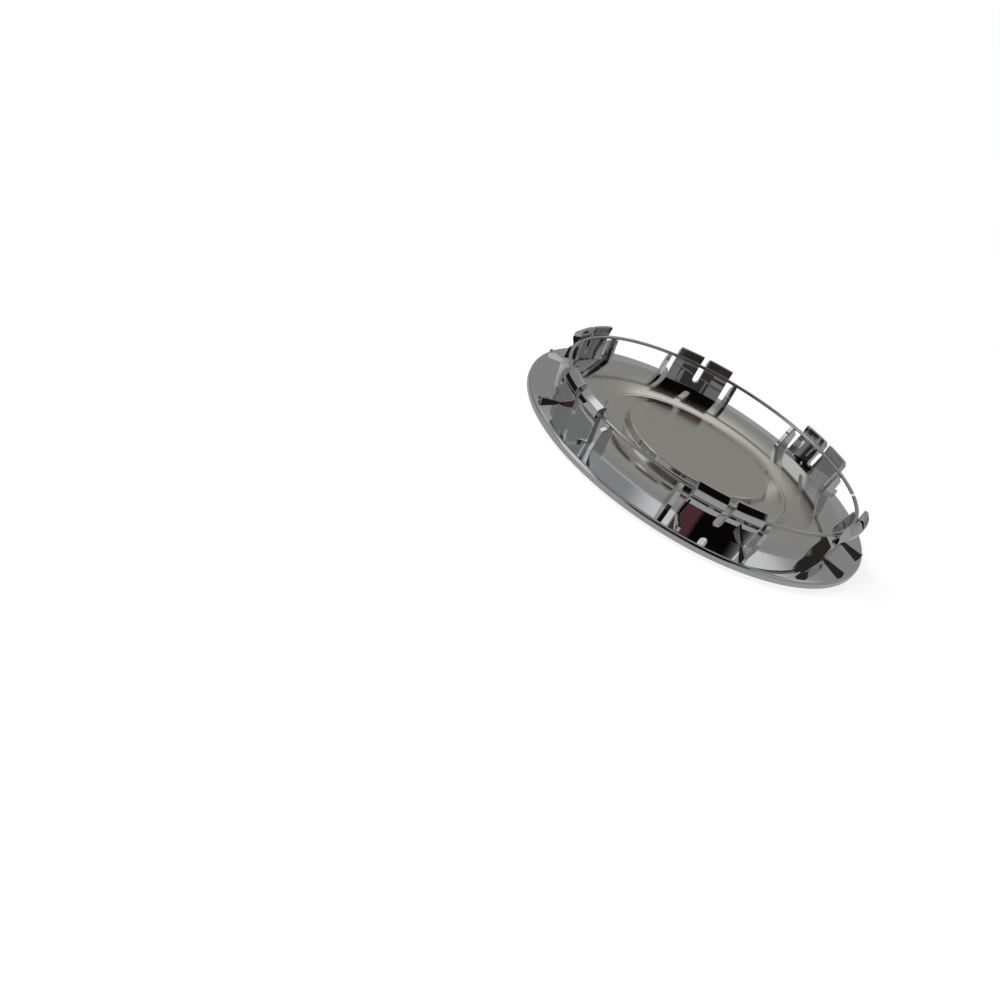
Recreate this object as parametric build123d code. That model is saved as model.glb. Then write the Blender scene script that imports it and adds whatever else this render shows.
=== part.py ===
"""Clip-in wheel centre cap: a plated plastic moulding and the spring wire that stiffens its clip fingers.

The cap lies on its face. Z is the wheel's axis and points from the face to the clips. The origin is on the
axis, at the level of the most forward circle of the face. The first clip station is on +X.
"""
from build123d import *
from math import atan2, cos, degrees, radians, sin, tan
import os

# Front of the face disc
cap_radius = 82.5
crest_radius = 53.0
lip_radius = 41.5
lip_height = 0.5
dish_step_radii = (37.5, 34.2, 30.6)
dish_step_heights = (1.4, 1.8, 2.9)
dish_step_run = 0.4

# Rim
rim_front = 1.2
rim_edge_radius = 0.5
rim_round = 1.4
flange_back = 5.9
flange_fall = 1.6

# Back of the disc inside the clips
back_round = 20.0
bead_radius = 44.8
bead_width = 1.6
bead_height = 0.35
bowl_inner_height = 3.1
groove_depth = 0.3
plateau_radius = 34.2
plateau_height = 6.2
plateau_draft = 1.1
plateau_edge = 0.4
groove_floor_width = 2.6

# Posts that carry the wire
post_mid_radius = 70.0
post_head = 2.2
post_rise = 12.0

# Spring wire on the posts
wire_diameter = 1.6
wire_seat_depth = 0.45
wire_clearance = 0.05
wire_gap = 3.0
wire_gap_angle = -150.0

# Clip stations
station_count = 6
finger_width = 12.85
finger_thickness = 1.7
finger_clearance = 0.2
finger_rise = 17.0
root_height = 5.7
slot_width = 3.1
slot_floor_rise = 3.4
barb_depth = 1.8
barb_land_height = 2.75
barb_lead_height = 2.35
barb_catch_height = 2.45
barb_inset = 0.25

# Sides of the posts, and the ribs on the flange
post_thickness = 1.9
post_gap = 3.1
post_rib_drop = 1.6
post_rib_chamfer = 1.4
post_foot_depth = 2.3
post_top_depth = 0.3
post_taper_drop = 0.8
seat_rib_thickness = 1.3
seat_rib_rise = 0.8
seat_rib_relief = 0.3
seat_rib_end = 80.0

# Pry notch in the rim
notch_station = 5
notch_width = 16.8
notch_depth = 4.2
notch_corner = 0.8

# Sizes that follow from the ones above
station_angle = 360.0 / station_count
rim_back = flange_back - flange_fall
post_inner = post_mid_radius - post_head / 2
post_outer = post_mid_radius + post_head / 2
post_top = flange_back + post_rise
back_crest = flange_back + flange_fall * (post_outer - post_mid_radius) / (cap_radius - post_outer)
flange_run = cap_radius - post_mid_radius
flange_turn = atan2(back_crest - rim_back, flange_run)
back_fillet = min(back_round, flange_run / 2 / tan(flange_turn / 2))
groove_floor = bowl_inner_height - groove_depth
wire_radius = wire_diameter / 2
wire_height = post_top - wire_seat_depth + wire_radius + wire_clearance
finger_inner = post_mid_radius + wire_radius + finger_clearance
finger_outer = finger_inner + finger_thickness
finger_bend = wire_height - wire_radius - finger_clearance
finger_top = flange_back + finger_rise
barb_outer = finger_outer + barb_depth
barb_land = finger_top - barb_lead_height - barb_land_height
slot_floor = flange_back + slot_floor_rise
finger_edge = slot_width / 2 + finger_width
post_middle = finger_edge + post_gap + post_thickness / 2
seat_rib_middle = finger_edge - seat_rib_thickness / 2

# How far a feature runs into its neighbour, and how far a cutter runs past the part
sunk = 1.0
past = 2.0


def ring_of(corners):
    """Turns a closed outline of (radius, height) corners once around the axis."""
    return revolve(make_face(Plane.XZ * Polyline(*corners, close=True)), axis=Axis.Z)


def block(inner, outer, low_y, high_y, bottom, top):
    """A box that runs outwards along +X, for one clip station at angle zero."""
    size = (outer - inner, high_y - low_y, top - bottom)
    middle = ((inner + outer) / 2, (low_y + high_y) / 2, (bottom + top) / 2)
    return Pos(*middle) * Box(*size)


def at_stations(shape):
    """Copies of a shape made at angle zero, one for each clip station."""
    return [Rot(0, 0, index * station_angle) * shape for index in range(station_count)]


def face_disc():
    """The face plate: crowned front, stepped hub dish, rounded rim and shaped back."""
    step_1, step_2, step_3 = dish_step_radii
    high_1, high_2, high_3 = dish_step_heights
    crest = (crest_radius, 0)
    rim_edge = cap_radius - rim_edge_radius
    rim_side = rim_front + rim_edge_radius
    back_edge = (post_mid_radius, back_crest)
    bead_outer = bead_radius + bead_width / 2
    bead_inner = bead_radius - bead_width / 2
    bead_top = bowl_inner_height + bead_height
    groove_inner = plateau_radius + plateau_draft
    groove_outer = groove_inner + groove_floor_width
    with BuildPart() as part:
        with BuildSketch(Plane.XZ):
            with BuildLine():
                # Front, from the axis outwards
                Polyline((0, high_3), (step_3, high_3), (step_3 + dish_step_run, high_2), (step_2, high_2),
                         (step_2 + dish_step_run, high_1), (step_1, high_1))
                inner_crown = TangentArc(crest, (lip_radius, lip_height), tangent=(-1, 0))
                TangentArc(inner_crown @ 1, (step_1, high_1), tangent=inner_crown % 1)
                TangentArc(crest, (rim_edge, rim_front), tangent=(1, 0))
                CenterArc((rim_edge, rim_side), rim_edge_radius, -90, 90)
                # Rim and back, from the outside inwards
                Polyline((cap_radius, rim_side), (cap_radius, rim_back), back_edge)
                TangentArc(back_edge, (bead_outer, bowl_inner_height), tangent=(-1, 0))
                Polyline((bead_outer, bowl_inner_height), (bead_radius, bead_top),
                         (bead_inner, bowl_inner_height), (groove_outer, groove_floor),
                         (groove_inner, groove_floor),
                         (plateau_radius + plateau_edge, plateau_height - plateau_edge),
                         (plateau_radius, plateau_height), (0, plateau_height), (0, high_3))
            make_face()
            fillet(vertices().sort_by_distance(back_edge)[0], radius=back_fillet)
            fillet(vertices().group_by(Axis.X)[-1].sort_by(Axis.Y)[-1], radius=rim_round)
        revolve(axis=Axis.Z)
    return part.part


def finger_ring():
    """The section of a clip finger turned into a ring: leaning stem, catch face, land and lead-in."""
    low = root_height - sunk
    return ring_of([(post_inner, low), (post_outer, low), (post_outer, flange_back),
                    (finger_outer, barb_land - barb_catch_height), (barb_outer, barb_land),
                    (barb_outer, barb_land + barb_land_height),
                    (finger_outer - barb_inset, finger_top), (finger_inner, finger_top),
                    (finger_inner, finger_bend), (post_inner, root_height)])


def slot():
    """The slot between the two fingers of a station, with its rounded floor."""
    inner = post_inner - past
    outer = barb_outer + past
    half = slot_width / 2
    floor_middle = slot_floor + half
    straight = block(inner, outer, -half, half, floor_middle, finger_top + past)
    floor = Pos((inner + outer) / 2, 0, floor_middle) * Rot(0, 90, 0) * Cylinder(half, outer - inner)
    return straight + floor


def post(middle_y):
    """The tapering post beside a finger, with the round seat for the wire in its head."""
    half = post_thickness / 2
    low = root_height - sunk
    foot = post_inner - post_foot_depth
    rib_top = post_top - post_rib_drop
    body = ring_of([(foot, low), (finger_outer, low), (finger_outer, rib_top - post_rib_chamfer),
                    (post_outer, rib_top), (post_outer, post_top), (post_inner, post_top),
                    (post_inner - post_top_depth, post_top - post_taper_drop), (foot, root_height)])
    body -= Pos(0, 0, wire_height) * Torus(post_mid_radius, wire_radius + wire_clearance)
    return body & block(foot / 2, barb_outer, middle_y - half, middle_y + half, 0, finger_top)


def seat_rib(middle_y):
    """The level rib over the sloping flange, a little lower where it starts under the leaning finger."""
    low_y = middle_y - seat_rib_thickness / 2
    high_y = middle_y + seat_rib_thickness / 2
    low = rim_back - sunk
    seat = flange_back + seat_rib_rise
    root = block(post_inner, finger_inner, low_y, high_y, low, seat - seat_rib_relief)
    return root + block(finger_inner, seat_rib_end, low_y, high_y, low, seat)


def clip_station():
    """One station at angle zero: two fingers on a common root, a post at each side and ribs on the flange."""
    sector = block(post_inner / 2, barb_outer + past, -finger_edge, finger_edge, 0, finger_top + past)
    station = finger_ring() & sector
    station -= slot()
    for side in (1, -1):
        station += seat_rib(side * seat_rib_middle)
        station += post(side * post_middle)
    return station


def pry_notch():
    """The rectangular bite in the rim where a tool lifts the cap out of the wheel."""
    bite = block(cap_radius - notch_depth, cap_radius + past, -notch_width / 2, notch_width / 2,
                 -past, flange_back)
    corners = bite.edges().filter_by(Axis.Z).sort_by(Axis.X)[:2]
    return Rot(0, 0, notch_station * station_angle) * fillet(corners, notch_corner)


def cap_body():
    """The whole moulding as one solid."""
    body = face_disc()
    for station in at_stations(clip_station()):
        body += station
    return body - pry_notch()


def retaining_wire():
    """The spring wire: a ring with a short gap between its cut ends."""
    gap_angle = degrees(wire_gap / post_mid_radius)
    start = radians(wire_gap_angle + gap_angle / 2)
    outwards = (cos(start), sin(start), 0)
    middle = (post_mid_radius * cos(start), post_mid_radius * sin(start), wire_height)
    section = Plane(origin=middle, x_dir=outwards, z_dir=(-sin(start), cos(start), 0))
    return revolve(section * Circle(wire_radius), axis=Axis.Z, revolution_arc=360 - gap_angle)


os.makedirs("parts", exist_ok=True)
export_step(cap_body(), "parts/cap_body.step")
export_step(retaining_wire(), "parts/retaining_wire.step")
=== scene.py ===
"""Wheel centre cap: the plated moulding and its spring wire, dressed in a plain studio."""
import logging
import math
from collections.abc import Callable
from dataclasses import dataclass
from enum import Enum

import bmesh
import bpy
from mathutils import Euler, Matrix, Vector

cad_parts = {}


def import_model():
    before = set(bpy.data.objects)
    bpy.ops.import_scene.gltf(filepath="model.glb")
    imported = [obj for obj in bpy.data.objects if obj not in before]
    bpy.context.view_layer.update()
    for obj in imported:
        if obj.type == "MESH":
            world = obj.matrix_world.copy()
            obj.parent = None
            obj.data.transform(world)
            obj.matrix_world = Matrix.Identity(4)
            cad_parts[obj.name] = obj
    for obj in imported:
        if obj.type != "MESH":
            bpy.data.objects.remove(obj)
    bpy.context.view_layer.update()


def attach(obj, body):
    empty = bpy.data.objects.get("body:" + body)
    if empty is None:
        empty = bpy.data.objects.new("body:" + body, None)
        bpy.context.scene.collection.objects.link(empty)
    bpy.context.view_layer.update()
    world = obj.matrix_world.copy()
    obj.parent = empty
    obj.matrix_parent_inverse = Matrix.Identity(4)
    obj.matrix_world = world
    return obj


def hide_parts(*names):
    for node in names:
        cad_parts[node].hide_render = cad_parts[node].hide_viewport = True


LOG = logging.getLogger("centre_cap")
MILLIMETRE = 0.001
WHEEL_AXIS = (0.0, 0.0, 1.0)
CENTRE = (0.0, 0.0, 0.0)
MERGE_DISTANCE = 0.002
SEAM_DISTANCE = 1e-4
CUT_DISTANCE = 1e-5
SHARP_TURN = 22.0
Point = tuple[float, float]
Stop = tuple[float, tuple[float, float, float]]


class Sheet(Enum):
    """The two upright planes that outlines are drawn in."""

    SECTION = "xz"
    FRONT = "yz"


class Side(Enum):
    """The two sides of a clip station."""

    LEFT = -1.0
    RIGHT = 1.0


@dataclass(frozen=True)
class Corner:
    """One corner of an outline, in millimetres.

    Args:
        across: Distance along the sheet's level axis.
        height: Height above the floor.
        reach: How far the rounding runs along both edges, or 0 for a sharp corner.
        steps: Number of straight pieces in the rounding.
    """

    across: float
    height: float
    reach: float = 0.0
    steps: int = 3


def bend(start: Point, heading: Point, end: Point, steps: int) -> Corner:
    """Gives the corner whose rounding is the arc that leaves start along heading and reaches end.

    Args:
        start: First point of the arc.
        heading: Direction of the arc at its start.
        end: Last point of the arc.
        steps: Number of straight pieces in the arc.

    Returns:
        The corner where the tangents at both ends meet.
    """
    first = Vector(start)
    chord = Vector(end) - first
    along = Vector(heading).normalized()
    reach = chord.length_squared / (2.0 * chord.dot(along))
    meet = first + along * reach
    return Corner(meet.x, meet.y, reach, steps)


def outline(shape: bmesh.types.BMesh, corners: list[Corner], sheet: Sheet) -> bmesh.types.BMFace:
    """Draws a closed outline with rounded corners as one face.

    Args:
        shape: Mesh that takes the face; it holds nothing else yet.
        corners: Corners in order.
        sheet: Plane to draw in.

    Returns:
        The finished face.
    """
    points: list[tuple[bmesh.types.BMVert, Corner]] = []
    for corner in corners:
        flat = (corner.across, 0.0) if sheet is Sheet.SECTION else (0.0, corner.across)
        points.append((shape.verts.new((*flat, corner.height)), corner))
    shape.faces.new([vert for vert, _ in points])
    for vert, corner in points:
        if corner.reach > 0.0:
            bmesh.ops.bevel(shape, geom=[vert], offset=corner.reach, offset_type="OFFSET",
                            segments=corner.steps, profile=0.5, affect="VERTICES",
                            clamp_overlap=False, material=-1)
    bmesh.ops.remove_doubles(shape, verts=shape.verts[:], dist=MERGE_DISTANCE)
    return max(shape.faces, key=lambda face: face.calc_area())


def soften(shape: bmesh.types.BMesh, width: float, above: float, steps: int = 3) -> None:
    """Rounds every sharp outward edge that shows.

    Args:
        shape: Closed mesh to work on.
        width: Width of the rounding in millimetres.
        above: Edges that lie wholly under this height stay sharp.
        steps: Number of straight pieces in the rounding.
    """
    bmesh.ops.recalc_face_normals(shape, faces=shape.faces[:])
    sharp = [edge for edge in shape.edges
             if edge.is_manifold and edge.is_convex
             and edge.calc_face_angle(0.0) > math.radians(SHARP_TURN)
             and max(vert.co.z for vert in edge.verts) > above]
    bmesh.ops.bevel(shape, geom=sharp, offset=width, offset_type="OFFSET", segments=steps, profile=0.5,
                    affect="EDGES", clamp_overlap=False, loop_slide=True, material=-1)
    bmesh.ops.remove_doubles(shape, verts=shape.verts[:], dist=MERGE_DISTANCE)


def thicken(shape: bmesh.types.BMesh, face: bmesh.types.BMFace, along: tuple[float, float, float]) -> None:
    """Grows a face into a closed block.

    Args:
        shape: Mesh that holds the face.
        face: Face to grow from.
        along: Way from the face to the far end of the block.
    """
    grown = bmesh.ops.extrude_face_region(shape, geom=[face])
    moved = [item for item in grown["geom"] if isinstance(item, bmesh.types.BMVert)]
    bmesh.ops.translate(shape, vec=along, verts=moved)


def level_line(points: list[Point], height: float) -> float:
    """Reads a radius from a line of (height, radius) points.

    Args:
        points: Line in order of height.
        height: Height to read at.

    Returns:
        The radius there, held at the ends.
    """
    for (low, first), (high, last) in zip(points, points[1:]):
        if height <= high:
            share = max(0.0, (height - low) / (high - low))
            return first + (last - first) * share
    return points[-1][1]


def wrap(shape: bmesh.types.BMesh, radius_at: Callable[[Vector], float]) -> None:
    """Moves every point of a station piece out to its radius, along the station's own direction.

    Args:
        shape: Mesh to wrap.
        radius_at: Gives a point's radius.
    """
    for vert in shape.verts:
        radius = radius_at(vert.co)
        vert.co.x = math.sqrt(radius * radius - vert.co.y * vert.co.y)


def gather(target: bmesh.types.BMesh, part: bmesh.types.BMesh) -> None:
    """Adds a finished part to a larger mesh.

    Args:
        target: Mesh that takes the part.
        part: Closed mesh to add; it is freed.
    """
    bmesh.ops.recalc_face_normals(part, faces=part.faces[:])
    carrier = bpy.data.meshes.new("carrier")
    part.to_mesh(carrier)
    part.free()
    target.from_mesh(carrier)
    bpy.data.meshes.remove(carrier)


def linked_object(shape: bmesh.types.BMesh, name: str) -> bpy.types.Object:
    """Turns a mesh into an object of the scene.

    Args:
        shape: Mesh to use; it is freed.
        name: Name of the object and of its mesh.

    Returns:
        The linked object at the origin.
    """
    mesh = bpy.data.meshes.new(name)
    shape.to_mesh(mesh)
    shape.free()
    thing = bpy.data.objects.new(name, mesh)
    bpy.context.scene.collection.objects.link(thing)
    return thing


def finished_object(shape: bmesh.types.BMesh, name: str, sharp_angle: float) -> bpy.types.Object:
    """Turns a mesh in millimetres into an object in metres at the origin.

    Args:
        shape: Mesh to use; it is freed.
        name: Name of the object.
        sharp_angle: Edges that turn by more than this many degrees stay sharp in the shading.

    Returns:
        The linked object with even shading.
    """
    bmesh.ops.scale(shape, vec=(MILLIMETRE,) * 3, verts=shape.verts[:])
    piece = linked_object(shape, name)
    piece.data.shade_smooth()
    piece.data.set_sharp_from_angle(angle=math.radians(sharp_angle))
    even = piece.modifiers.new("even_shading", "WEIGHTED_NORMAL")
    even.keep_sharp = True
    even.weight = 80
    return piece


def node_material(name: str) -> tuple[bpy.types.Material, bpy.types.Node]:
    """Makes a material that is ready for nodes.

    Args:
        name: Name of the material.

    Returns:
        The material and its main shader.
    """
    made = bpy.data.materials.new(name)
    made.use_nodes = True
    return made, made.node_tree.nodes["Principled BSDF"]


@dataclass(frozen=True)
class Plating:
    """Bright plating on moulded plastic.

    Args:
        name: Material name.
        bright: Colour of the plating outside the ring of clips.
        hollow: Warmer colour inside the ring of clips.
        roughness: Roughness outside the ring of clips.
        hollow_roughness: Roughness inside the ring of clips, where the mould was less polished.
        haze: Extra roughness where the surface is rubbed.
        hollow_radius: Radius in metres inside which the warmer colour lies.
        hollow_fade: Width in metres over which it comes in.
        hollow_lead: How far outside that radius it begins, in metres.
        rub_scale: Fineness of the rubbed patches.
        rub_detail: Raggedness of their edges.
        rub_range: Levels of the pattern where rubbing begins and is full.
        wave_scale: Fineness of the slow waves of the moulded surface.
        wave_strength: Share of the waves that shows.
        wave_height: Height of the waves in metres.
    """

    name: str
    bright: tuple[float, float, float]
    hollow: tuple[float, float, float]
    roughness: float
    hollow_roughness: float
    haze: float
    hollow_radius: float
    hollow_fade: float
    hollow_lead: float = 0.002
    rub_scale: float = 55.0
    rub_detail: float = 6.0
    rub_range: tuple[float, float] = (0.4, 0.75)
    wave_scale: float = 38.0
    wave_strength: float = 0.06
    wave_height: float = 0.0004

    def material(self) -> bpy.types.Material:
        """Builds the node material.

        Returns:
            The new material.
        """
        made, shader = node_material(self.name)
        nodes = made.node_tree.nodes
        links = made.node_tree.links
        shader.inputs["Metallic"].default_value = 1.0
        place = nodes.new("ShaderNodeTexCoord")
        flat = nodes.new("ShaderNodeVectorMath")
        flat.operation = "MULTIPLY"
        flat.inputs[1].default_value = (1.0, 1.0, 0.0)
        links.new(place.outputs["Object"], flat.inputs[0])
        reach = nodes.new("ShaderNodeVectorMath")
        reach.operation = "LENGTH"
        links.new(flat.outputs["Vector"], reach.inputs[0])
        inside = nodes.new("ShaderNodeMapRange")
        inside.interpolation_type = "SMOOTHSTEP"
        inside.inputs["From Min"].default_value = self.hollow_radius + self.hollow_lead
        inside.inputs["From Max"].default_value = self.hollow_radius - self.hollow_fade
        links.new(reach.outputs["Value"], inside.inputs["Value"])
        tone = nodes.new("ShaderNodeMix")
        tone.data_type = "RGBA"
        tone.inputs["A"].default_value = (*self.bright, 1.0)
        tone.inputs["B"].default_value = (*self.hollow, 1.0)
        links.new(inside.outputs["Result"], tone.inputs["Factor"])
        links.new(tone.outputs["Result"], shader.inputs["Base Color"])
        rub = nodes.new("ShaderNodeTexNoise")
        rub.inputs["Scale"].default_value = self.rub_scale
        rub.inputs["Detail"].default_value = self.rub_detail
        links.new(place.outputs["Object"], rub.inputs["Vector"])
        base = nodes.new("ShaderNodeMapRange")
        base.inputs["To Min"].default_value = self.roughness
        base.inputs["To Max"].default_value = self.hollow_roughness
        links.new(inside.outputs["Result"], base.inputs["Value"])
        dull = nodes.new("ShaderNodeMapRange")
        dull.inputs["From Min"].default_value, dull.inputs["From Max"].default_value = self.rub_range
        dull.inputs["To Max"].default_value = self.haze
        links.new(rub.outputs["Fac"], dull.inputs["Value"])
        total = nodes.new("ShaderNodeMath")
        links.new(base.outputs["Result"], total.inputs[0])
        links.new(dull.outputs["Result"], total.inputs[1])
        links.new(total.outputs["Value"], shader.inputs["Roughness"])
        waves = nodes.new("ShaderNodeTexNoise")
        waves.inputs["Scale"].default_value = self.wave_scale
        waves.inputs["Detail"].default_value = 1.0
        links.new(place.outputs["Object"], waves.inputs["Vector"])
        bump = nodes.new("ShaderNodeBump")
        bump.inputs["Strength"].default_value = self.wave_strength
        bump.inputs["Distance"].default_value = self.wave_height
        links.new(waves.outputs["Fac"], bump.inputs["Height"])
        links.new(bump.outputs["Normal"], shader.inputs["Normal"])
        return made


@dataclass(frozen=True)
class DrawnWire:
    """Bright drawn spring steel with a fine grain.

    Args:
        name: Material name.
        colour: Colour of the steel.
        roughness: Mean roughness.
        roughness_spread: Share by which the grain makes it smoother and rougher.
        grain_scale: Fineness of the grain.
        grain_detail: Raggedness of the grain.
        grain_shade: Brightness of the dark grain beside the colour.
    """

    name: str
    colour: tuple[float, float, float]
    roughness: float
    roughness_spread: float = 0.3
    grain_scale: float = 900.0
    grain_detail: float = 4.0
    grain_shade: float = 0.8

    def material(self) -> bpy.types.Material:
        """Builds the node material.

        Returns:
            The new material.
        """
        made, shader = node_material(self.name)
        nodes = made.node_tree.nodes
        links = made.node_tree.links
        shader.inputs["Metallic"].default_value = 1.0
        place = nodes.new("ShaderNodeTexCoord")
        grain = nodes.new("ShaderNodeTexNoise")
        grain.inputs["Scale"].default_value = self.grain_scale
        grain.inputs["Detail"].default_value = self.grain_detail
        links.new(place.outputs["Object"], grain.inputs["Vector"])
        tint = nodes.new("ShaderNodeMix")
        tint.data_type = "RGBA"
        tint.inputs["A"].default_value = (*self.colour, 1.0)
        tint.inputs["B"].default_value = (*(self.grain_shade * part for part in self.colour), 1.0)
        links.new(grain.outputs["Fac"], tint.inputs["Factor"])
        links.new(tint.outputs["Result"], shader.inputs["Base Color"])
        dull = nodes.new("ShaderNodeMapRange")
        dull.inputs["To Min"].default_value = self.roughness * (1.0 - self.roughness_spread)
        dull.inputs["To Max"].default_value = self.roughness * (1.0 + self.roughness_spread)
        links.new(grain.outputs["Fac"], dull.inputs["Value"])
        links.new(dull.outputs["Result"], shader.inputs["Roughness"])
        return made


@dataclass
class CapBody:
    """The plated moulding: face disc, clip fingers, wire posts and ribs.

    Sizes are in millimetres. A pair of numbers in lip and dish_steps is a radius and a height. A name
    that ends in rise, fall, drop or depth is measured from the face or edge beside it, and one that ends in
    round is the size of a rounding. finger_folds are the lines across a finger that let it follow the ring,
    sunk is how far a piece runs into the disc, and edges lower than sharp_root above a piece's root stay
    sharp.
    """

    finish: Plating
    cap_radius: float = 82.5
    crest_radius: float = 53.0
    lip: tuple[float, float] = (41.5, 0.5)
    dish_steps: tuple[tuple[float, float], ...] = ((37.5, 1.4), (34.2, 1.8), (30.6, 2.9))
    dish_step_run: float = 0.4
    dish_inner_round: float = 0.12
    dish_outer_round: float = 0.15
    rim_front: float = 1.2
    rim_edge: float = 0.5
    rim_round: float = 1.4
    flange_back: float = 5.9
    flange_fall: float = 1.6
    back_round: float = 20.0
    bead_radius: float = 44.8
    bead_half_width: float = 0.8
    bead_rise: float = 0.35
    bead_round: float = 0.45
    bead_foot_round: float = 0.3
    bowl_inner_height: float = 3.1
    groove_depth: float = 0.3
    groove_floor_width: float = 2.6
    groove_round: float = 0.6
    plateau_radius: float = 34.2
    plateau_height: float = 6.2
    plateau_edge: float = 0.4
    plateau_draft: float = 1.1
    plateau_round: float = 0.2
    wire_radius: float = 0.8
    wire_seat_depth: float = 0.45
    wire_clearance: float = 0.05
    seat_share: float = 0.96
    station_count: int = 6
    finger_width: float = 12.85
    finger_thickness: float = 1.7
    finger_clearance: float = 0.2
    finger_rise: float = 17.0
    finger_round: float = 0.22
    finger_folds: tuple[float, ...] = (2.4, 4.9, 7.5, 10.1, 12.7)
    root_height: float = 5.7
    slot_half_width: float = 1.55
    slot_floor_rise: float = 3.4
    barb_depth: float = 1.8
    barb_catch_height: float = 2.45
    barb_land_height: float = 2.75
    barb_lead_height: float = 2.35
    barb_inset: float = 0.25
    post_middle: float = 70.0
    post_head: float = 2.2
    post_rise: float = 12.0
    post_gap: float = 3.1
    post_thickness: float = 1.9
    post_rib_drop: float = 1.6
    post_rib_chamfer: float = 1.4
    post_foot_depth: float = 2.3
    post_top_depth: float = 0.3
    post_taper_drop: float = 0.8
    post_round: float = 0.12
    seat_rib_rise: float = 0.8
    seat_rib_relief: float = 0.3
    seat_rib_end: float = 80.0
    seat_rib_thickness: float = 1.3
    seat_rib_round: float = 0.14
    notch_station: int = 5
    notch_half_width: float = 8.4
    notch_depth: float = 4.2
    notch_corner: float = 0.8
    cutter_past: float = 3.0
    cutter_below: float = 2.0
    cutter_height: float = 9.0
    sunk: float = 1.0
    sharp_root: float = 0.5
    disc_steps: int = 288

    def __post_init__(self) -> None:
        """Works out the sizes that follow from the fields."""
        self.post_inner: float = self.post_middle - self.post_head / 2.0
        self.post_outer: float = self.post_middle + self.post_head / 2.0
        self.post_top: float = self.flange_back + self.post_rise
        self.rim_back: float = self.flange_back - self.flange_fall
        flange_slope = self.flange_fall / (self.cap_radius - self.post_outer)
        self.back_crest: float = self.flange_back + flange_slope * self.post_head / 2.0
        self.wire_height: float = (self.post_top - self.wire_seat_depth + self.wire_radius
                                   + self.wire_clearance)
        self.finger_inner: float = self.post_middle + self.wire_radius + self.finger_clearance
        self.finger_outer: float = self.finger_inner + self.finger_thickness
        self.finger_bend: float = self.wire_height - self.wire_radius - self.finger_clearance
        self.finger_top: float = self.flange_back + self.finger_rise
        self.finger_edge: float = self.slot_half_width + self.finger_width
        self.barb_outer: float = self.finger_outer + self.barb_depth
        self.barb_lead: float = self.finger_top - self.barb_lead_height
        self.barb_land: float = self.barb_lead - self.barb_land_height
        self.barb_catch: float = self.barb_land - self.barb_catch_height

    def disc_corners(self) -> list[Corner]:
        """Lists the section of the face disc from the front centre round the rim to the back centre.

        Returns:
            Corners in order, with their roundings.
        """
        (step_1, high_1), (step_2, high_2), (step_3, high_3) = self.dish_steps
        run = self.dish_step_run
        front = (self.crest_radius, 0.0)
        inner = bend(front, (-1.0, 0.0), self.lip, 10)
        slope = Vector(self.lip) - Vector((inner.across, inner.height))
        lip = bend(self.lip, (slope.x, slope.y), (step_1, high_1), 6)
        crown = bend(front, (1.0, 0.0), (self.cap_radius - self.rim_edge, self.rim_front), 16)
        bead_inner = self.bead_radius - self.bead_half_width
        bead_outer = (self.bead_radius + self.bead_half_width, self.bowl_inner_height)
        bead_top = self.bowl_inner_height + self.bead_rise
        crest = (self.post_middle, self.back_crest)
        bowl = bend(crest, (-1.0, 0.0), bead_outer, 18)
        groove_inner = self.plateau_radius + self.plateau_draft
        groove_outer = groove_inner + self.groove_floor_width
        groove_floor = self.bowl_inner_height - self.groove_depth
        edge_radius = self.plateau_radius + self.plateau_edge
        edge_height = self.plateau_height - self.plateau_edge
        crest_turn = math.atan2(self.back_crest - self.rim_back, self.cap_radius - self.post_middle)
        rim_turn = math.pi / 2.0 - crest_turn
        return [
            Corner(0.0, high_3),
            Corner(step_3, high_3, self.dish_inner_round, 2),
            Corner(step_3 + run, high_2, self.dish_outer_round, 2),
            Corner(step_2, high_2, self.dish_inner_round, 2),
            Corner(step_2 + run, high_1, self.dish_outer_round, 2),
            Corner(step_1, high_1),
            lip,
            inner,
            crown,
            Corner(self.cap_radius, self.rim_front, self.rim_edge, 4),
            Corner(self.cap_radius, self.rim_back, self.rim_round * math.tan(rim_turn / 2.0), 8),
            Corner(*crest, self.back_round * math.tan(crest_turn / 2.0), 6),
            bowl,
            Corner(*bead_outer),
            Corner(self.bead_radius, bead_top, self.bead_round, 4),
            Corner(bead_inner, self.bowl_inner_height, self.bead_foot_round, 2),
            Corner(groove_outer, groove_floor, self.groove_round, 3),
            Corner(groove_inner, groove_floor, self.groove_round, 4),
            Corner(edge_radius, edge_height, self.plateau_round, 2),
            Corner(self.plateau_radius, self.plateau_height, self.plateau_round, 2),
            Corner(0.0, self.plateau_height),
        ]

    def face_disc(self) -> bmesh.types.BMesh:
        """Turns the disc's section once round the axis and takes the pry notch out of the rim.

        Returns:
            The closed disc.
        """
        disc = bmesh.new()
        section = outline(disc, self.disc_corners(), Sheet.SECTION)
        bmesh.ops.delete(disc, geom=[section], context="FACES_ONLY")
        axis_edges = [edge for edge in disc.edges
                      if all(abs(vert.co.x) < SEAM_DISTANCE for vert in edge.verts)]
        bmesh.ops.delete(disc, geom=axis_edges, context="EDGES")
        bmesh.ops.spin(disc, geom=disc.verts[:] + disc.edges[:], cent=CENTRE, axis=WHEEL_AXIS,
                       dvec=CENTRE, angle=math.tau, steps=self.disc_steps, use_merge=True,
                       use_duplicate=False)
        bmesh.ops.remove_doubles(disc, verts=disc.verts[:], dist=SEAM_DISTANCE)
        bmesh.ops.recalc_face_normals(disc, faces=disc.faces[:])
        return self.without_notch(disc)

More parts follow.
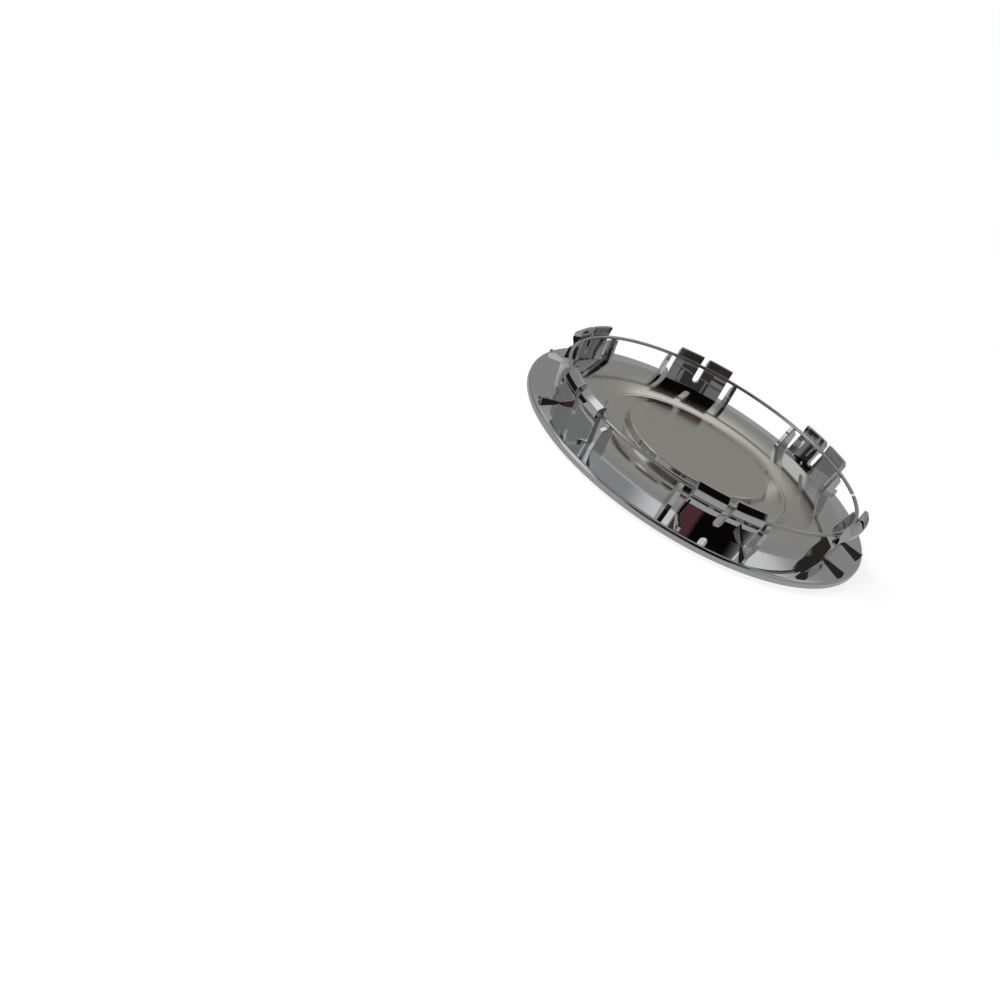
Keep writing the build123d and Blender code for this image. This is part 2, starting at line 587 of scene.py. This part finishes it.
    def without_notch(self, disc: bmesh.types.BMesh) -> bmesh.types.BMesh:
        """Takes the pry notch out of the disc's rim.

        Args:
            disc: Closed disc; it is freed.

        Returns:
            The notched disc.
        """
        bite = bmesh.new()
        half = self.notch_half_width
        near = self.cap_radius - self.notch_depth
        far = self.cap_radius + self.cutter_past
        low = -self.cutter_below
        high = low + self.cutter_height
        corners = [Corner(near, low), Corner(far, low), Corner(far, high), Corner(near, high)]
        face = outline(bite, corners, Sheet.SECTION)
        bmesh.ops.translate(bite, vec=(0.0, -half, 0.0), verts=bite.verts[:])
        thicken(bite, face, (0.0, 2.0 * half, 0.0))
        upright = [edge for edge in bite.edges
                   if abs(edge.verts[0].co.z - edge.verts[1].co.z) > self.cutter_height / 2.0
                   and edge.verts[0].co.x < self.cap_radius]
        bmesh.ops.bevel(bite, geom=upright, offset=self.notch_corner, offset_type="OFFSET", segments=5,
                        profile=0.5, affect="EDGES", clamp_overlap=False, material=-1)
        bmesh.ops.recalc_face_normals(bite, faces=bite.faces[:])
        turn = Matrix.Rotation(math.tau * self.notch_station / self.station_count, 3, "Z")
        bmesh.ops.rotate(bite, cent=CENTRE, matrix=turn, verts=bite.verts[:])
        holder = linked_object(disc, "disc_blank")
        cutter = linked_object(bite, "notch_cutter")
        carve = holder.modifiers.new("notch", "BOOLEAN")
        carve.operation = "DIFFERENCE"
        carve.solver = "EXACT"
        carve.object = cutter
        bpy.context.view_layer.update()
        graph = bpy.context.evaluated_depsgraph_get()
        carved = bpy.data.meshes.new_from_object(holder.evaluated_get(graph))
        notched = bmesh.new()
        notched.from_mesh(carved)
        for thing in (holder, cutter):
            bpy.data.objects.remove(thing)
        bpy.data.meshes.remove(carved)
        return notched

    def finger_pair(self) -> bmesh.types.BMesh:
        """Builds one station's two clip fingers on their common root.

        Returns:
            The closed pair, wrapped to the ring.
        """
        low = self.root_height - self.sunk
        half = self.slot_half_width
        floor = self.flange_back + self.slot_floor_rise
        top = self.finger_top
        edge = self.finger_edge
        right = [
            Corner(edge, low),
            Corner(edge, top),
            Corner(half, top),
            Corner(half, floor, half, 6),
        ]
        left = [Corner(-corner.across, corner.height, corner.reach, corner.steps)
                for corner in reversed(right)]
        pair = bmesh.new()
        front = outline(pair, right + left, Sheet.FRONT)
        thicken(pair, front, (1.0, 0.0, 0.0))
        levels = (self.barb_catch, self.barb_land, self.barb_lead, self.finger_bend, self.flange_back)
        cuts = [(Vector((0.0, 0.0, level)), Vector((0.0, 0.0, 1.0))) for level in levels]
        cuts += [(Vector((0.0, side.value * fold, 0.0)), Vector((0.0, 1.0, 0.0)))
                 for side in Side for fold in self.finger_folds]
        for point, normal in cuts:
            everything = pair.verts[:] + pair.edges[:] + pair.faces[:]
            bmesh.ops.bisect_plane(pair, geom=everything, dist=CUT_DISTANCE, plane_co=point,
                                   plane_no=normal)
        inner = [
            (self.root_height, self.post_inner),
            (self.finger_bend, self.finger_inner),
            (top, self.finger_inner),
        ]
        outer = [
            (self.flange_back, self.post_outer),
            (self.barb_catch, self.finger_outer),
            (self.barb_land, self.barb_outer),
            (self.barb_lead, self.barb_outer),
            (top, self.finger_outer - self.barb_inset),
        ]
        wrap(pair, lambda place: level_line(outer if place.x > 0.5 else inner, place.z))
        soften(pair, self.finger_round, self.root_height + self.sharp_root)
        return pair

    def post_section(self) -> list[Corner]:
        """Lists the section of a post, with the round wire seat in its head.

        Returns:
            Corners in order.
        """
        low = self.root_height - self.sunk
        top = self.post_top
        rib_top = top - self.post_rib_drop
        foot = self.post_inner - self.post_foot_depth
        over = self.wire_height - top
        half = math.sqrt((self.wire_radius + self.wire_clearance) ** 2 - over ** 2)
        seat = bend((self.post_middle + half, top), (-over, -half), (self.post_middle - half, top), 8)
        return [
            Corner(foot, low),
            Corner(self.finger_outer, low),
            Corner(self.finger_outer, rib_top - self.post_rib_chamfer),
            Corner(self.post_outer, rib_top),
            Corner(self.post_outer, top),
            Corner(self.post_middle + half, top),
            Corner(seat.across, seat.height, seat.reach * self.seat_share, seat.steps),
            Corner(self.post_middle - half, top),
            Corner(self.post_inner, top),
            Corner(self.post_inner - self.post_top_depth, top - self.post_taper_drop),
            Corner(foot, self.root_height),
        ]

    @staticmethod
    def upright_plate(section: list[Corner], thickness: float, middle: float) -> bmesh.types.BMesh:
        """Builds a plate that stands across the ring.

        Args:
            section: Outline of the plate, from the axis outwards.
            thickness: Thickness of the plate.
            middle: Distance of its middle from the middle of the station.

        Returns:
            The closed plate with sharp edges.
        """
        plate = bmesh.new()
        face = outline(plate, section, Sheet.SECTION)
        thicken(plate, face, (0.0, thickness, 0.0))
        bmesh.ops.translate(plate, vec=(0.0, middle - thickness / 2.0, 0.0), verts=plate.verts[:])
        return plate

    def post(self, side: Side) -> bmesh.types.BMesh:
        """Builds the tapering post at one side of a station.

        Args:
            side: Side of the station.

        Returns:
            The closed post.
        """
        middle = self.finger_edge + self.post_gap + self.post_thickness / 2.0
        made = self.upright_plate(self.post_section(), self.post_thickness, side.value * middle)
        wrap(made, lambda place: place.x)
        soften(made, self.post_round, self.root_height + self.sharp_root)
        return made

    def seat_rib(self, side: Side) -> bmesh.types.BMesh:
        """Builds the level rib on the flange at one side of a station, a little lower under the finger.

        Args:
            side: Side of the station.

        Returns:
            The closed rib.
        """
        low = self.rim_back - self.sunk
        top = self.flange_back + self.seat_rib_rise
        root = top - self.seat_rib_relief
        section = [
            Corner(self.post_inner, low),
            Corner(self.seat_rib_end, low),
            Corner(self.seat_rib_end, top),
            Corner(self.finger_inner, top),
            Corner(self.finger_inner, root),
            Corner(self.post_inner, root),
        ]
        middle = self.finger_edge - self.seat_rib_thickness / 2.0
        rib = self.upright_plate(section, self.seat_rib_thickness, side.value * middle)
        soften(rib, self.seat_rib_round, low + self.sharp_root)
        return rib

    def clip_station(self) -> bmesh.types.BMesh:
        """Builds everything that repeats at one clip station.

        Returns:
            The station at angle zero.
        """
        station = bmesh.new()
        gather(station, self.finger_pair())
        for side in Side:
            gather(station, self.post(side))
            gather(station, self.seat_rib(side))
        return station

    def build(self) -> bpy.types.Object:
        """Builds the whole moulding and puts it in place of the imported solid.

        Returns:
            The finished piece.
        """
        body = bmesh.new()
        gather(body, self.clip_station())
        turns = self.station_count - 1
        first = body.verts[:] + body.edges[:] + body.faces[:]
        bmesh.ops.spin(body, geom=first, cent=CENTRE, axis=WHEEL_AXIS, dvec=CENTRE,
                       angle=math.tau * turns / self.station_count, steps=turns, use_merge=False,
                       use_duplicate=True)
        gather(body, self.face_disc())
        piece = finished_object(body, "cap_body_plated", 25.0)
        piece.data.materials.append(self.finish.material())
        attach(piece, "root")
        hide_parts("cap_body")
        return piece


@dataclass
class RetainingWire:
    """The split ring of spring wire. Sizes are in millimetres.

    Args:
        finish: Finish of the wire.
        ring_radius: Radius of the ring on which the posts carry the wire.
        height: Height of the wire's middle.
        wire_radius: Half of the wire's thickness.
        gap: Width of the split.
        gap_angle: Angle of the split in degrees.
        wire_sides: Number of straight pieces round the wire.
        ring_steps: Number of straight pieces along it.
        end_turn: Edges that turn by more than this many degrees belong to the cut ends.
        end_round: Size of the rounding of the cut ends.
    """

    finish: DrawnWire
    ring_radius: float
    height: float
    wire_radius: float
    gap: float = 3.0
    gap_angle: float = -150.0
    wire_sides: int = 20
    ring_steps: int = 300
    end_turn: float = 60.0
    end_round: float = 0.15

    def build(self) -> bpy.types.Object:
        """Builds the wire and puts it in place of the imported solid.

        Returns:
            The finished piece.
        """
        wire = bmesh.new()
        bmesh.ops.create_circle(wire, cap_ends=True, segments=self.wire_sides,
                                radius=self.wire_radius)
        upright = Matrix.Rotation(math.pi / 2.0, 3, "X")
        bmesh.ops.rotate(wire, cent=CENTRE, matrix=upright, verts=wire.verts[:])
        bmesh.ops.translate(wire, vec=(self.ring_radius, 0.0, self.height), verts=wire.verts[:])
        opening = self.gap / self.ring_radius
        start = Matrix.Rotation(math.radians(self.gap_angle) + opening / 2.0, 3, "Z")
        bmesh.ops.rotate(wire, cent=CENTRE, matrix=start, verts=wire.verts[:])
        bmesh.ops.spin(wire, geom=wire.faces[:], cent=CENTRE, axis=WHEEL_AXIS, dvec=CENTRE,
                       angle=math.tau - opening, steps=self.ring_steps, use_merge=False,
                       use_duplicate=False)
        bmesh.ops.recalc_face_normals(wire, faces=wire.faces[:])
        ends = [edge for edge in wire.edges
                if edge.calc_face_angle(0.0) > math.radians(self.end_turn)]
        bmesh.ops.bevel(wire, geom=ends, offset=self.end_round, offset_type="OFFSET", segments=2,
                        profile=0.5, affect="EDGES", clamp_overlap=False, material=-1)
        piece = finished_object(wire, "retaining_wire_drawn", 50.0)
        piece.data.materials.append(self.finish.material())
        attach(piece, "root")
        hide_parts("retaining_wire")
        return piece


@dataclass(frozen=True)
class ShadowCard:
    """One dark card of painted shadow that lies on the floor beside the cap and shows in the plating alone.

    Args:
        name: Name of the card.
        start: Angle in degrees where the card begins.
        stop: Angle in degrees where it ends.
        inner: Radius of its inner edge in metres.
        outer: Radius of its outer edge in metres.
        lift: Height above the floor in metres.
        steps: Number of straight pieces in its curved edges.
        shade: Its colour.
    """

    name: str
    start: float
    stop: float
    inner: float
    outer: float
    lift: float = 0.0005
    steps: int = 24
    # The near-black shade is painted shadow, which only the plating mirrors.
    shade: tuple[float, float, float] = (0.012, 0.01, 0.01)

    def build(self) -> bpy.types.Object:
        """Builds the card.

        Returns:
            The card, which only mirrors can see.
        """
        shape = bmesh.new()
        first = shape.verts.new((self.inner, 0.0, self.lift))
        last = shape.verts.new((self.outer, 0.0, self.lift))
        edge = shape.edges.new((first, last))
        turn = Matrix.Rotation(math.radians(self.start), 3, "Z")
        bmesh.ops.rotate(shape, cent=CENTRE, matrix=turn, verts=shape.verts[:])
        bmesh.ops.spin(shape, geom=[first, last, edge], cent=CENTRE, axis=WHEEL_AXIS, dvec=CENTRE,
                       angle=math.radians(self.stop - self.start), steps=self.steps, use_merge=False,
                       use_duplicate=False)
        card = linked_object(shape, self.name)
        paint, shader = node_material(self.name)
        shader.inputs["Base Color"].default_value = (*self.shade, 1.0)
        shader.inputs["Specular IOR Level"].default_value = 0.0
        card.data.materials.append(paint)
        card.visible_camera = False
        card.visible_diffuse = False
        card.visible_shadow = False
        return card


@dataclass(frozen=True)
class Patch:
    """One round patch of the room that shows in the plating. Angles are in degrees.

    Args:
        name: Name of the patch.
        around: Angle round the wheel's axis.
        up: Angle above the floor.
        half_width: Half of the angle that the patch spans.
        soft: Width of its soft edge.
        shade: Its colour.
    """

    name: str
    around: float
    up: float
    half_width: float
    soft: float
    shade: tuple[float, float, float]

    def direction(self) -> Vector:
        """Gives the direction from the cap to the middle of the patch."""
        around, up = math.radians(self.around), math.radians(self.up)
        return Vector((math.cos(around) * math.cos(up), math.sin(around) * math.cos(up), math.sin(up)))

    def laid_over(self, tree: bpy.types.NodeTree, rays: bpy.types.NodeSocket,
                  below: bpy.types.NodeSocket) -> bpy.types.NodeSocket:
        """Lays the patch over the colour of the room.

        Args:
            tree: Node tree of the room.
            rays: Socket with the direction that is looked in.
            below: Socket with the colour so far.

        Returns:
            Socket with the colour that includes the patch.
        """
        aim = tree.nodes.new("ShaderNodeVectorMath")
        aim.label = self.name
        aim.operation = "DOT_PRODUCT"
        aim.inputs[1].default_value = self.direction()
        tree.links.new(rays, aim.inputs[0])
        cover = tree.nodes.new("ShaderNodeMapRange")
        cover.interpolation_type = "SMOOTHSTEP"
        cover.inputs["From Min"].default_value = math.cos(math.radians(self.half_width + self.soft))
        cover.inputs["From Max"].default_value = math.cos(math.radians(self.half_width - self.soft))
        tree.links.new(aim.outputs["Value"], cover.inputs["Value"])
        laid = tree.nodes.new("ShaderNodeMix")
        laid.data_type = "RGBA"
        laid.inputs["B"].default_value = (*self.shade, 1.0)
        tree.links.new(cover.outputs["Result"], laid.inputs["Factor"])
        tree.links.new(below, laid.inputs["A"])
        return laid.outputs["Result"]


HIGH_WINDOW = Patch("high_window", 24.0, 47.0, 14.0, 4.0, (1.1, 1.1, 1.1))


@dataclass
class Studio:
    """Plain pale floor, soft light, a dark card of painted shadow, the room that the plating mirrors and
    the camera.

    Lengths are in metres and angles in degrees. far_shades and near_shades grade the two halves of the
    room by height, and room_turn is where one half gives way to the other. mirrored_glow_shades is the
    painted glow that stands in for the lit floor in the plating, close to the cap and farther off.
    """

    floor_half: float = 6.0
    floor_colour: tuple[float, float, float] = (0.9, 0.9, 0.9)
    floor_roughness: float = 0.9
    floor_glow: float = 0.86
    camera_place: tuple[float, float, float] = (-0.08719, 0.37609, 0.15192)
    camera_turn: tuple[float, float, float] = (58.8116, -24.3626, -140.3399)
    lens: float = 32.546
    sensor_width: float = 36.0
    clip_start: float = 0.01
    shift: tuple[float, float] = (0.02067, -0.04292)
    room_turn: tuple[float, float] = (-0.15, 0.25)
    far_shades: tuple[Stop, ...] = (
        (0.0, (0.4, 0.4, 0.4)),
        (0.3, (0.32, 0.32, 0.315)),
        (0.47, (0.34, 0.34, 0.335)),
        (0.57, (0.52, 0.52, 0.52)),
        (0.65, (0.66, 0.66, 0.67)),
        (0.74, (0.24, 0.24, 0.24)),
        (0.88, (0.3, 0.3, 0.3)),
        (1.0, (0.4, 0.4, 0.4)),
    )
    near_shades: tuple[Stop, ...] = (
        (0.0, (0.38, 0.38, 0.38)),
        (0.5, (0.38, 0.38, 0.375)),
        (0.6, (0.3, 0.3, 0.3)),
        (0.68, (0.1, 0.1, 0.1)),
        (0.82, (0.14, 0.14, 0.14)),
        (1.0, (0.4, 0.4, 0.4)),
    )
    patches: tuple[Patch, ...] = (
        HIGH_WINDOW,
        Patch("side_window", 48.0, 15.0, 16.0, 3.0, (1.05, 1.05, 1.06)),
        Patch("grey_screen", 292.5, 43.0, 5.5, 1.5, (0.34, 0.34, 0.345)),
        Patch("far_lamp", 274.0, 41.0, 8.0, 3.0, (0.85, 0.85, 0.85)),
        Patch("low_dark_screen", 120.0, 15.0, 33.0, 3.0, (0.05, 0.045, 0.04)),
        Patch("dark_screen", 142.0, 44.0, 26.0, 3.0, (0.006, 0.004, 0.004)),
        Patch("red_cloth", 121.0, 25.0, 7.0, 2.0, (0.17, 0.065, 0.075)),
    )
    # Painted glow of the floor in the plating: radii where its grade begins and ends, and its brightness
    # there.
    mirrored_glow_reach: tuple[float, float] = (0.11, 0.17)
    mirrored_glow_shades: tuple[float, float] = (0.46, 0.2)
    sun_power: float = 3.8
    sun_width: float = 30.0
    # Painted shadow: a dark card beside the cap that only the plating mirrors.
    shadow_cards: tuple[ShadowCard, ...] = (ShadowCard("side_shadow_card", 8.0, 48.0, 0.09, 0.115),)

    def floor(self) -> bpy.types.Object:
        """Lays the pale floor that the cap rests on.

        Returns:
            The floor.
        """
        shape = bmesh.new()
        bmesh.ops.create_grid(shape, x_segments=1, y_segments=1, size=self.floor_half)
        ground = linked_object(shape, "floor")
        paint, shader = node_material("pale_floor")
        self.add_glow(paint, shader)
        ground.data.materials.append(paint)
        return ground

    def add_glow(self, paint: bpy.types.Material, shader: bpy.types.Node) -> None:
        """Makes the floor nearly white to the camera and a graded painted glow in the plating.

        Args:
            paint: Material of the floor.
            shader: Its main shader, which keeps the shadow.
        """
        nodes = paint.node_tree.nodes
        links = paint.node_tree.links
        shader.inputs["Base Color"].default_value = (*self.floor_colour, 1.0)
        shader.inputs["Roughness"].default_value = self.floor_roughness
        backdrop_glow = nodes.new("ShaderNodeEmission")
        path = nodes.new("ShaderNodeLightPath")
        place = nodes.new("ShaderNodeTexCoord")
        reach = nodes.new("ShaderNodeVectorMath")
        reach.operation = "LENGTH"
        links.new(place.outputs["Object"], reach.inputs[0])
        # Painted glow: in the plating the floor shines by itself, brighter close to the cap, darker farther
        # off.
        sheet = nodes.new("ShaderNodeMapRange")
        sheet.interpolation_type = "SMOOTHSTEP"
        sheet.inputs["From Min"].default_value, sheet.inputs["From Max"].default_value = self.mirrored_glow_reach
        sheet.inputs["To Min"].default_value, sheet.inputs["To Max"].default_value = self.mirrored_glow_shades
        links.new(reach.outputs["Value"], sheet.inputs["Value"])
        shade = nodes.new("ShaderNodeMix")
        shade.inputs["B"].default_value = 1.0
        links.new(path.outputs["Is Camera Ray"], shade.inputs["Factor"])
        links.new(sheet.outputs["Result"], shade.inputs["A"])
        links.new(shade.outputs["Result"], backdrop_glow.inputs["Strength"])
        seen = nodes.new("ShaderNodeMath")
        seen.operation = "MULTIPLY"
        seen.inputs[1].default_value = self.floor_glow
        links.new(path.outputs["Is Camera Ray"], seen.inputs[0])
        mirrored = nodes.new("ShaderNodeMath")
        links.new(seen.outputs["Value"], mirrored.inputs[0])
        links.new(path.outputs["Is Glossy Ray"], mirrored.inputs[1])
        # Mirrors see the painted glow alone, so the plating shows no shadow on the floor and the camera
        # sees it faintly.
        share = nodes.new("ShaderNodeMath")
        share.use_clamp = True
        links.new(mirrored.outputs["Value"], share.inputs[0])
        links.new(path.outputs["Is Transmission Ray"], share.inputs[1])
        pick = nodes.new("ShaderNodeMixShader")
        links.new(share.outputs["Value"], pick.inputs["Fac"])
        links.new(shader.outputs["BSDF"], pick.inputs[1])
        links.new(backdrop_glow.outputs["Emission"], pick.inputs[2])
        links.new(pick.outputs["Shader"], nodes["Material Output"].inputs["Surface"])

    @staticmethod
    def ramp(tree: bpy.types.NodeTree, height: bpy.types.NodeSocket,
             stops: tuple[Stop, ...]) -> bpy.types.NodeSocket:
        """Grades one half of the room by height.

        Args:
            tree: Node tree of the room.
            height: Socket with the height of the direction that is looked in.
            stops: Heights in order, each with its colour.

        Returns:
            Socket with the colour of that half.
        """
        graded = tree.nodes.new("ShaderNodeValToRGB")
        marks = graded.color_ramp.elements
        while len(marks) < len(stops):
            marks.new(1.0)
        for mark, (position, shade) in zip(marks, stops):
            mark.position = position
            mark.color = (*shade, 1.0)
        tree.links.new(height, graded.inputs["Fac"])
        return graded.outputs["Color"]

    def surroundings(self) -> None:
        """Sets the room: white behind the cap, and in the plating graded by height, with its patches."""
        world = bpy.data.worlds.new("studio")
        world.use_nodes = True
        nodes = world.node_tree.nodes
        links = world.node_tree.links
        room = nodes["Background"]
        place = nodes.new("ShaderNodeTexCoord")
        split = nodes.new("ShaderNodeSeparateXYZ")
        links.new(place.outputs["Generated"], split.inputs["Vector"])
        far = self.ramp(world.node_tree, split.outputs["Z"], self.far_shades)
        near = self.ramp(world.node_tree, split.outputs["Z"], self.near_shades)
        half = nodes.new("ShaderNodeMapRange")
        half.interpolation_type = "SMOOTHSTEP"
        half.inputs["From Min"].default_value, half.inputs["From Max"].default_value = self.room_turn
        links.new(split.outputs["Y"], half.inputs["Value"])
        blend = nodes.new("ShaderNodeMix")
        blend.data_type = "RGBA"
        links.new(half.outputs["Result"], blend.inputs["Factor"])
        links.new(far, blend.inputs["A"])
        links.new(near, blend.inputs["B"])
        seen = blend.outputs["Result"]
        for patch in self.patches:
            seen = patch.laid_over(world.node_tree, place.outputs["Generated"], seen)
        links.new(seen, room.inputs["Color"])
        backdrop_glow = nodes.new("ShaderNodeBackground")
        backdrop_glow.inputs["Color"].default_value = (1.0, 1.0, 1.0, 1.0)
        path = nodes.new("ShaderNodeLightPath")
        pick = nodes.new("ShaderNodeMixShader")
        links.new(path.outputs["Is Camera Ray"], pick.inputs["Fac"])
        links.new(room.outputs["Background"], pick.inputs[1])
        links.new(backdrop_glow.outputs["Background"], pick.inputs[2])
        links.new(pick.outputs["Shader"], nodes["World Output"].inputs["Surface"])
        bpy.context.scene.world = world

    def sun(self) -> None:
        """Adds the wide soft light that comes through the high window."""
        glow = bpy.data.lights.new("high_window", "SUN")
        glow.energy = self.sun_power
        glow.angle = math.radians(self.sun_width)
        hung = bpy.data.objects.new("high_window", glow)
        hung.rotation_euler = (-HIGH_WINDOW.direction()).to_track_quat("-Z", "Y").to_euler()
        hung.visible_glossy = False
        bpy.context.scene.collection.objects.link(hung)

    def camera(self) -> None:
        """Sets the camera at the viewing angle, with no blur of depth."""
        eye = bpy.data.cameras.new("camera")
        eye.lens = self.lens
        eye.sensor_width = self.sensor_width
        eye.shift_x, eye.shift_y = self.shift
        eye.clip_start = self.clip_start
        held = bpy.data.objects.new("camera", eye)
        held.location = self.camera_place
        held.rotation_euler = Euler([math.radians(turn) for turn in self.camera_turn])
        bpy.context.scene.collection.objects.link(held)
        bpy.context.scene.camera = held

    def build(self) -> None:
        """Builds floor, room, lamps and camera in order."""
        self.floor()
        self.surroundings()
        self.sun()
        for shadow_card in self.shadow_cards:
            shadow_card.build()
        self.camera()


def main() -> None:
    """Builds the pieces in order and reports each one."""
    logging.basicConfig(level=logging.INFO, format="%(name)s: %(message)s")
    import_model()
    bpy.context.scene.view_settings.view_transform = "Standard"
    plating = Plating(
        name="bright_plating",
        bright=(0.6, 0.605, 0.61),
        hollow=(0.63, 0.615, 0.565),
        roughness=0.012,
        hollow_roughness=0.12,
        haze=0.012,
        hollow_radius=0.069,
        hollow_fade=0.018,
    )
    steel = DrawnWire(name="drawn_steel", colour=(0.58, 0.58, 0.57), roughness=0.22)
    body = CapBody(plating)
    wire = RetainingWire(steel, body.post_middle, body.wire_height, body.wire_radius)
    for maker in (body, wire):
        piece = maker.build()
        LOG.info("%s has %d faces", piece.name, len(piece.data.polygons))
    Studio().build()


if __name__ == "__main__":
    main()
